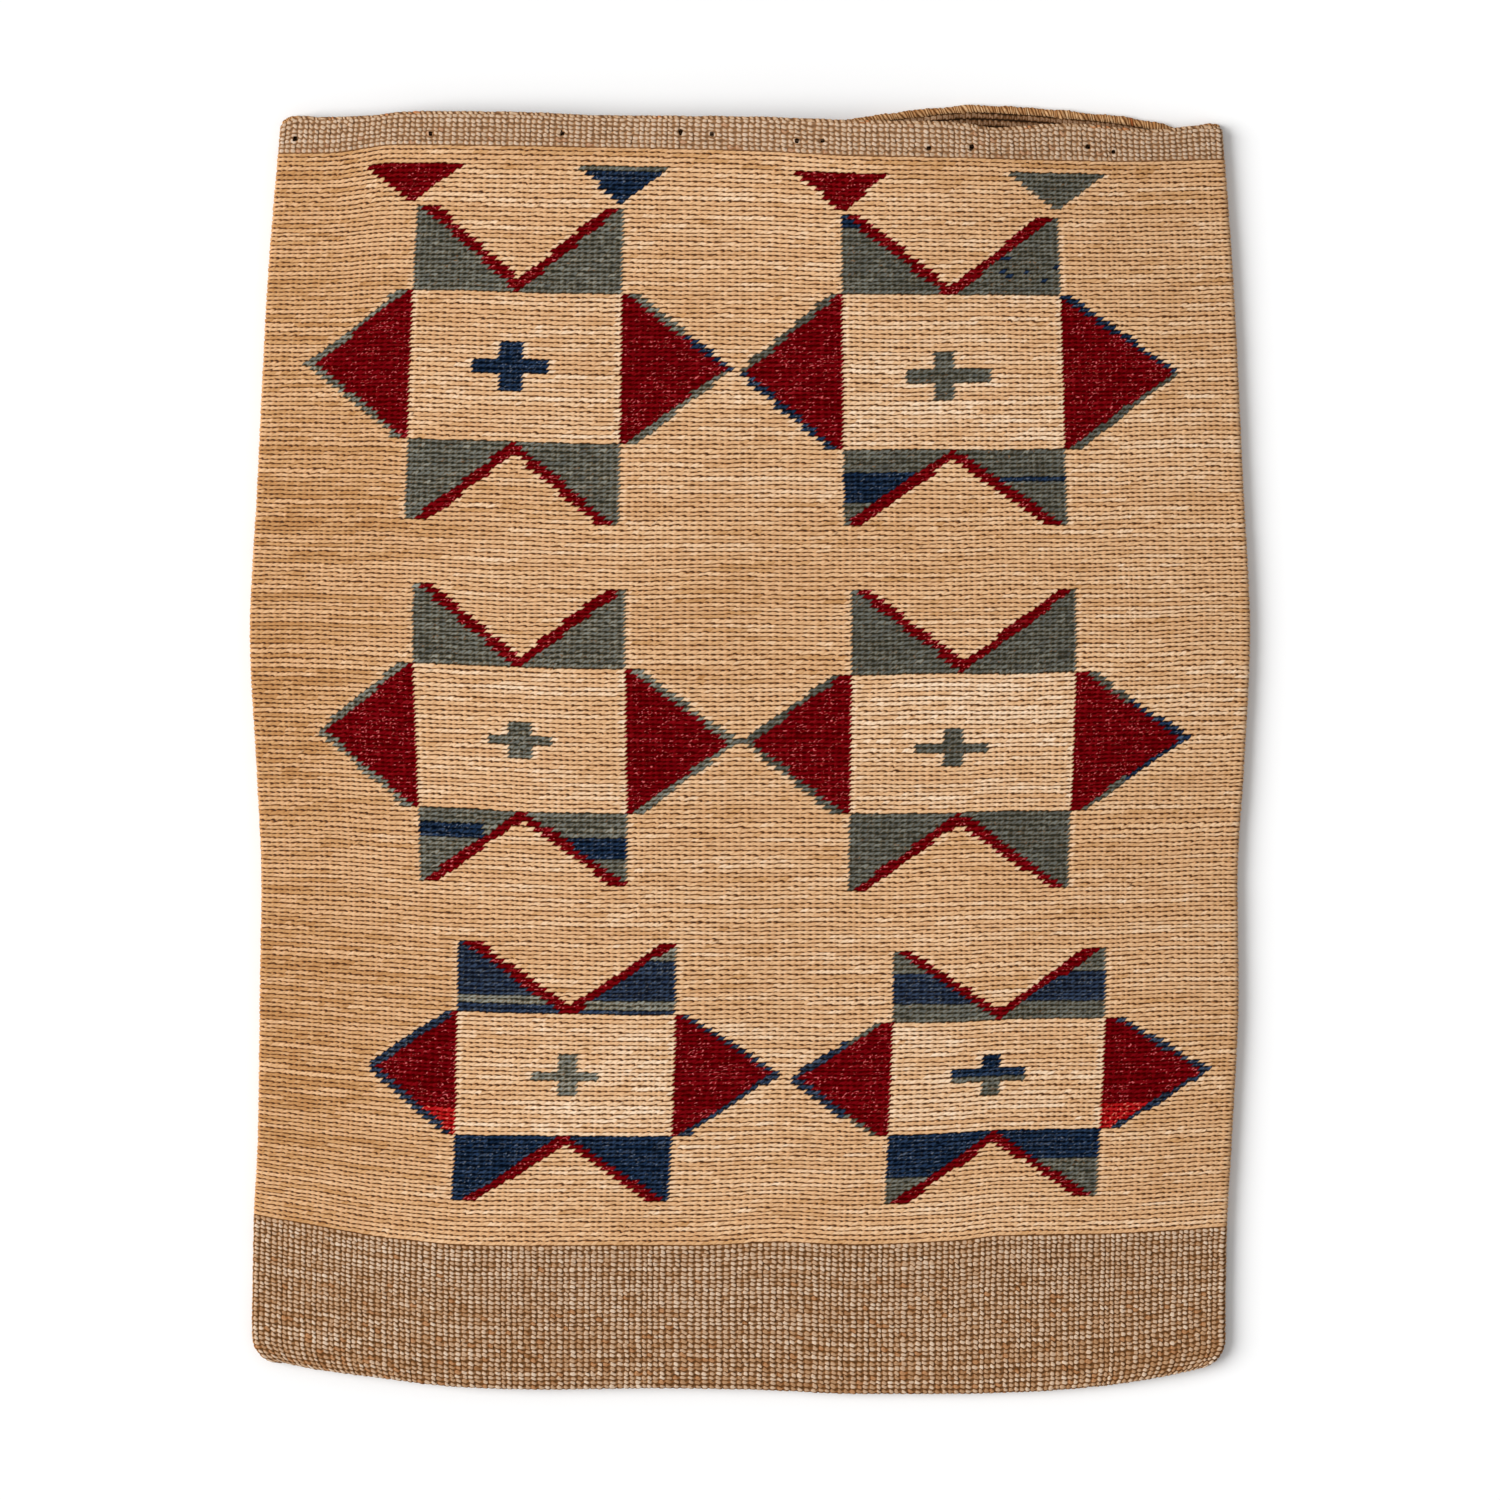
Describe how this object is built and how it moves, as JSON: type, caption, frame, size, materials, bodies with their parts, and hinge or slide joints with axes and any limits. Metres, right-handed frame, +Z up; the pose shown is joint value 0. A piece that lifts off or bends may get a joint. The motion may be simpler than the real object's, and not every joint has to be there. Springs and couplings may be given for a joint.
{
  "type": "flat bag",
  "caption": "Flat twined bag of hemp faced with corn husk, with wool stars and triangles on its front, plain hemp bands at top and bottom and an open mouth.",
  "frame": {"origin": "middle of the bag's underside, on the surface that it lies on", "axes": "+X to the right of the decorated face, +Y from the bottom fold to the mouth, +Z up out of the decorated face"},
  "size_m": [0.4332, 0.5592, 0.0187],
  "materials": {
    "husk": "golden corn husk, slightly glossy, twined in fine rows",
    "hemp": "matt grey-brown hemp cord, plain twined",
    "overcast_edge": "golden-brown overcast edge",
    "red_wool": "deep red wool yarn, fuzzy, with pale flecks",
    "green_wool": "faded grey-green wool yarn",
    "navy_wool": "dark blue wool yarn",
    "slate_wool": "faded slate blue wool yarn"
  },
  "bodies": {
    "back_leaf": {"bottom_band": "hemp", "husk_back": "husk", "hemp_back": "hemp", "top_band_back": "hemp", "rim_back": "overcast_edge"},
    "front_leaf": {"hemp_front": "hemp", "husk_front": "husk", "top_band_front": "hemp", "rim_front": "overcast_edge", "top_left_star_cross": "navy_wool", "top_left_star_upper_wings": "green_wool", "top_left_star_upper_vee": "red_wool", "top_left_star_lower_wings": "green_wool", "top_left_star_lower_vee": "red_wool", "top_left_star_left_point": "red_wool", "top_left_star_right_point": "red_wool", "top_right_star_cross": "green_wool", "top_right_star_upper_wings": "green_wool", "top_right_star_upper_vee": "red_wool", "top_right_star_lower_wings": "green_wool", "top_right_star_lower_vee": "red_wool", "top_right_star_left_point": "red_wool", "top_right_star_right_point": "red_wool", "middle_left_star_cross": "green_wool", "middle_left_star_upper_wings": "green_wool", "middle_left_star_upper_vee": "red_wool", "middle_left_star_lower_wings": "green_wool", "middle_left_star_lower_vee": "red_wool", "middle_left_star_left_point": "red_wool", "middle_left_star_right_point": "red_wool", "middle_right_star_cross": "green_wool", "middle_right_star_upper_wings": "green_wool", "middle_right_star_upper_vee": "red_wool", "middle_right_star_lower_wings": "green_wool", "middle_right_star_lower_vee": "red_wool", "middle_right_star_left_point": "red_wool", "middle_right_star_right_point": "red_wool", "bottom_left_star_cross": "green_wool", "bottom_left_star_upper_wings": "slate_wool", "bottom_left_star_upper_vee": "red_wool", "bottom_left_star_lower_wings": "navy_wool", "bottom_left_star_lower_vee": "red_wool", "bottom_left_star_left_point": "red_wool", "bottom_left_star_right_point": "red_wool", "bottom_right_star_cross": "navy_wool", "bottom_right_star_upper_wings": "slate_wool", "bottom_right_star_upper_vee": "red_wool", "bottom_right_star_lower_wings": "navy_wool", "bottom_right_star_lower_vee": "red_wool", "bottom_right_star_left_point": "red_wool", "bottom_right_star_right_point": "red_wool", "top_triangle_1": "red_wool", "top_triangle_2": "navy_wool", "top_triangle_3": "red_wool", "top_triangle_4": "green_wool"}
  },
  "joints": [
    {"name": "mouth_open", "type": "hinge", "parent": "back_leaf", "child": "front_leaf", "pos_m": [0, -0.215, 0.01396], "axis": [1, 0, 0], "range_deg": [0, 8]}
  ]
}
